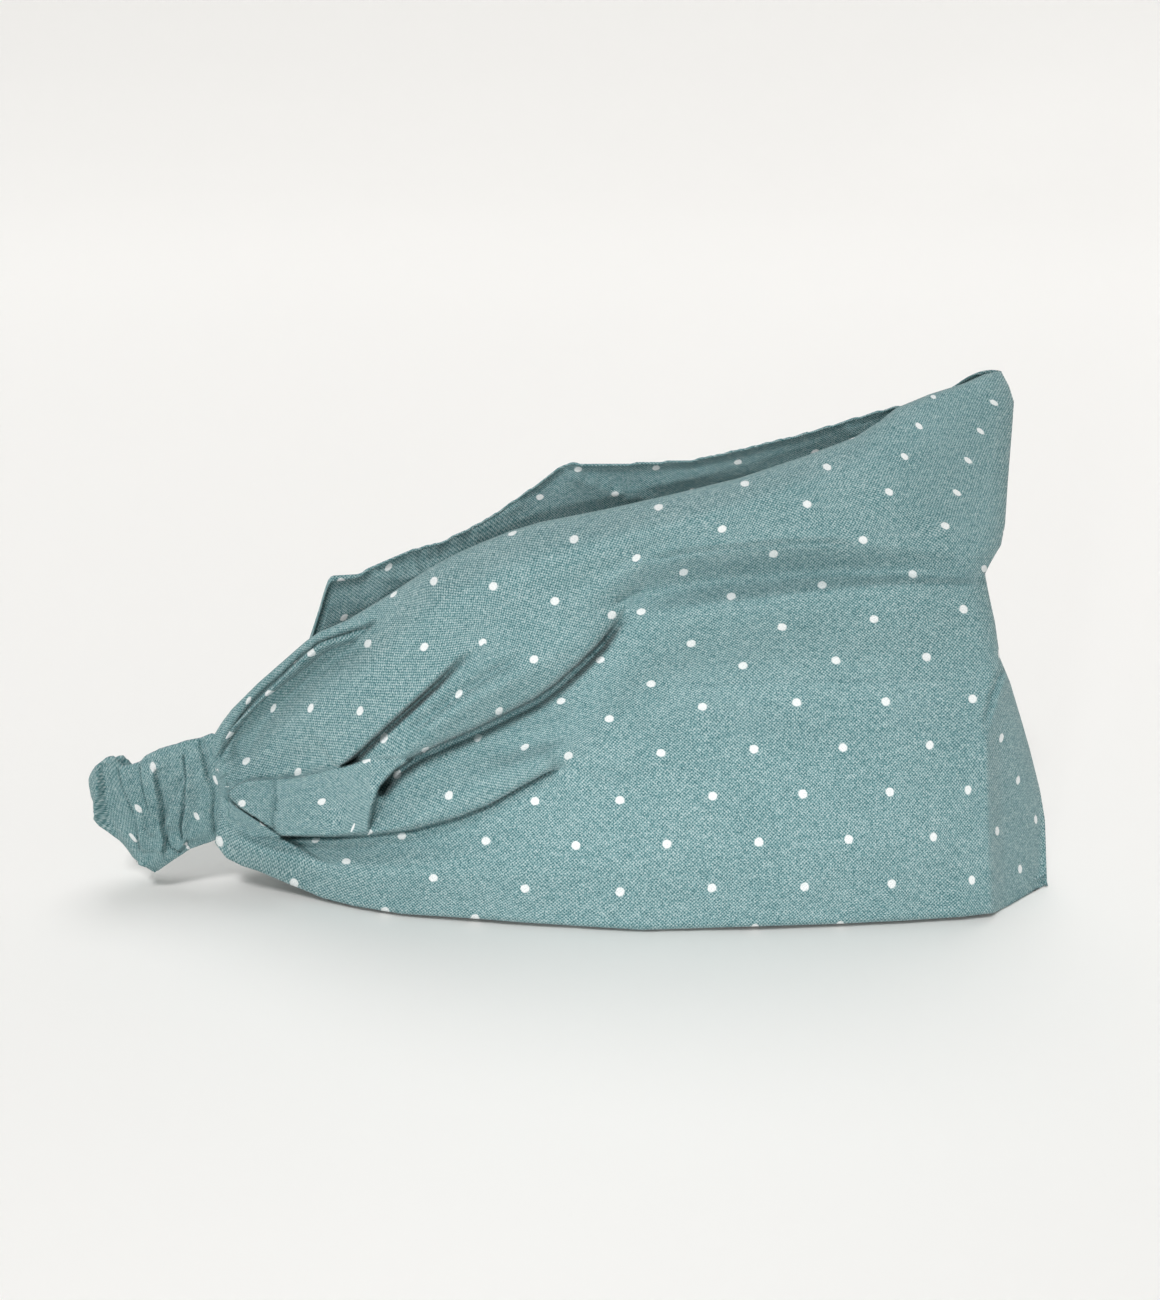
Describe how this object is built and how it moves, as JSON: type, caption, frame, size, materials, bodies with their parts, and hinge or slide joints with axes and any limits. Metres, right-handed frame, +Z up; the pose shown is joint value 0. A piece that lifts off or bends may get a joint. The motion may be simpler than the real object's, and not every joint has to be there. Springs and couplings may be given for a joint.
{
  "type": "knotted headband",
  "caption": "Wide soft dotted-cloth headband: a two-layer pleated panel gathered at its ends into a ruched elastic back, standing on edge as a relaxed loop.",
  "frame": {"origin": "middle of the loop's footprint, on the surface that the lower edge stands on", "axes": "+Z up, along the width of the band; +X along the flattened loop towards the front fold (forehead), -X towards the elastic casing (nape); -Y is the near side of the loop"},
  "size_m": [0.2315, 0.0452, 0.1243],
  "materials": {
    "printed_cloth": "matte plain weave, teal and light grey yarn, small off-white printed dots",
    "lining_cloth": "matte plain weave, same cloth as the outside",
    "thread": "matte polyester sewing thread",
    "elastic": "braided elastic, off-white"
  },
  "bodies": {
    "near_side": {"near_outer": "printed_cloth", "near_lining": "lining_cloth", "near_tube_seam": "thread", "near_end_stitch": "thread", "near_elastic_tack": "thread", "elastic_casing": "printed_cloth", "elastic_strip": "elastic", "casing_seam": "thread"},
    "far_side": {"far_outer": "printed_cloth", "far_lining": "lining_cloth", "far_tube_seam": "thread", "far_end_stitch": "thread", "far_elastic_tack": "thread"}
  },
  "joints": [
    {"name": "open_loop", "type": "hinge", "parent": "near_side", "child": "far_side", "pos_m": [0.11595, 0.00075, 0], "axis": [0, 0, -1], "range_deg": [0, 30], "stiffness_Nm_per_rad": 1, "springref_deg": -3.44, "deforming": ["elastic_casing", "elastic_strip", "casing_seam"]}
  ]
}
